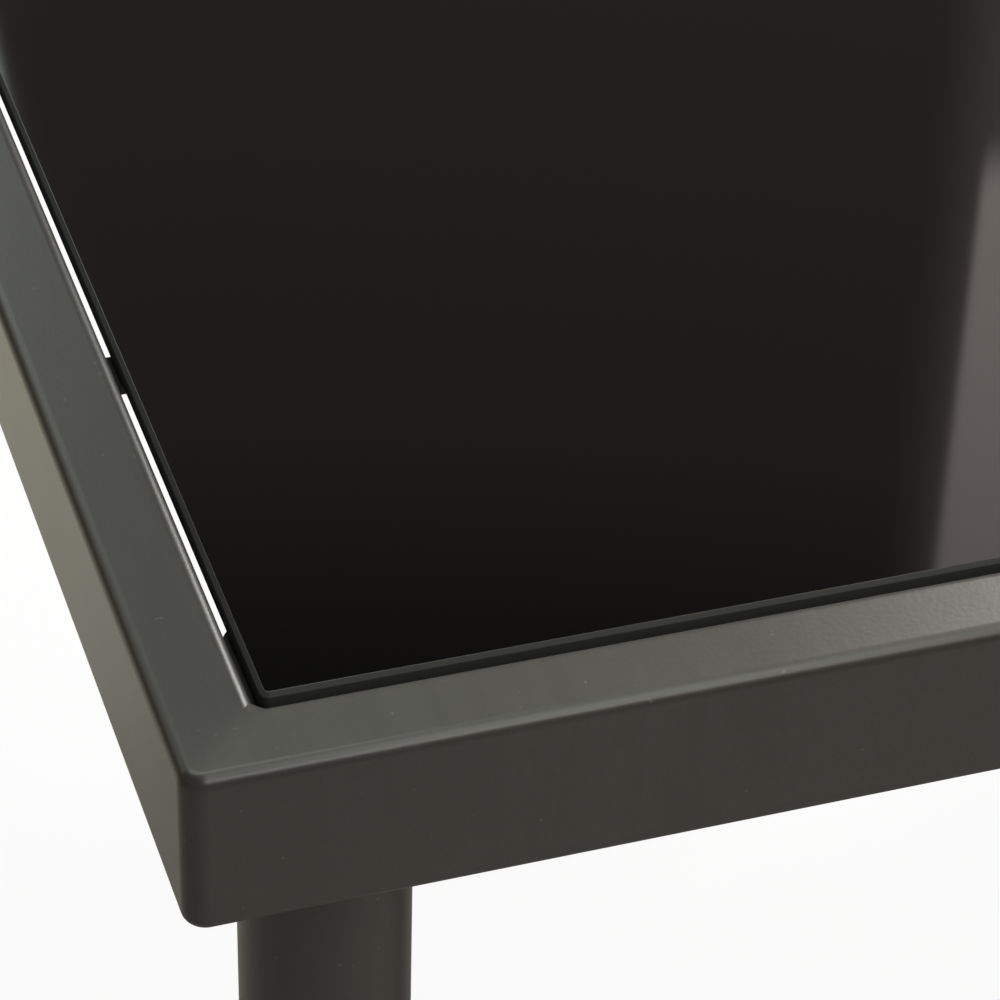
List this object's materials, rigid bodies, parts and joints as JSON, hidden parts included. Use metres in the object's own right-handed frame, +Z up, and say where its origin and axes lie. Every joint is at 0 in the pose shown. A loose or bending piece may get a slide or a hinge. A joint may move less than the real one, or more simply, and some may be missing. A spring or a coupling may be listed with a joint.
{
  "type": "nesting tables",
  "caption": "Nest of side tables, each a mitred rectangular-tube frame with an inset dark glass pane on round tube legs; the smaller tables slide under the larger.",
  "frame": {"origin": "floor level, at the middle of the footprint of the three tables as displayed, stepped out one ahead of the other", "axes": "+Z up; X along the way that the smaller tables slide out, +X towards the smallest; Y along the long sides of the tops"},
  "size_m": [0.87, 0.65, 0.5],
  "materials": {
    "frame_powder_coat": "fine-textured satin powder coat, warm dark grey, on steel tube and plate",
    "black_glass": "glossy opaque black tempered glass with ground edges",
    "pad_rubber": "matt black",
    "insert_steel": "plain turned steel",
    "screw_steel": "zinc-plated, dull",
    "foot_plastic": "moulded black, lightly textured"
  },
  "bodies": {
    "large_table": {"large_near_rail": "frame_powder_coat", "large_far_rail": "frame_powder_coat", "large_left_rail": "frame_powder_coat", "large_right_rail": "frame_powder_coat", "large_glass": "black_glass", "large_glass_tabs": "frame_powder_coat", "large_glass_pads": "pad_rubber", "large_head_plates": "frame_powder_coat", "large_leg_near_left": "frame_powder_coat", "large_leg_near_right": "frame_powder_coat", "large_leg_far_left": "frame_powder_coat", "large_leg_far_right": "frame_powder_coat", "large_leg_inserts": "insert_steel", "large_leg_screws": "screw_steel", "large_feet": "foot_plastic"},
    "medium_table": {"medium_near_rail": "frame_powder_coat", "medium_far_rail": "frame_powder_coat", "medium_left_rail": "frame_powder_coat", "medium_right_rail": "frame_powder_coat", "medium_glass": "black_glass", "medium_glass_tabs": "frame_powder_coat", "medium_glass_pads": "pad_rubber", "medium_head_plates": "frame_powder_coat", "medium_leg_near_left": "frame_powder_coat", "medium_leg_near_right": "frame_powder_coat", "medium_leg_far_left": "frame_powder_coat", "medium_leg_far_right": "frame_powder_coat", "medium_leg_inserts": "insert_steel", "medium_leg_screws": "screw_steel", "medium_feet": "foot_plastic"},
    "small_table": {"small_near_rail": "frame_powder_coat", "small_far_rail": "frame_powder_coat", "small_left_rail": "frame_powder_coat", "small_right_rail": "frame_powder_coat", "small_glass": "black_glass", "small_glass_tabs": "frame_powder_coat", "small_glass_pads": "pad_rubber", "small_head_plates": "frame_powder_coat", "small_leg_near_left": "frame_powder_coat", "small_leg_near_right": "frame_powder_coat", "small_leg_far_left": "frame_powder_coat", "small_leg_far_right": "frame_powder_coat", "small_leg_inserts": "insert_steel", "small_leg_screws": "screw_steel", "small_feet": "foot_plastic"}
  },
  "joints": [
    {"name": "medium_slide", "type": "slide", "parent": "large_table", "child": "medium_table", "axis": [1, 0, 0], "range_m": [-0.22, 0.2]},
    {"name": "small_slide", "type": "slide", "parent": "medium_table", "child": "small_table", "axis": [1, 0, 0], "range_m": [-0.2, 0.18]}
  ]
}
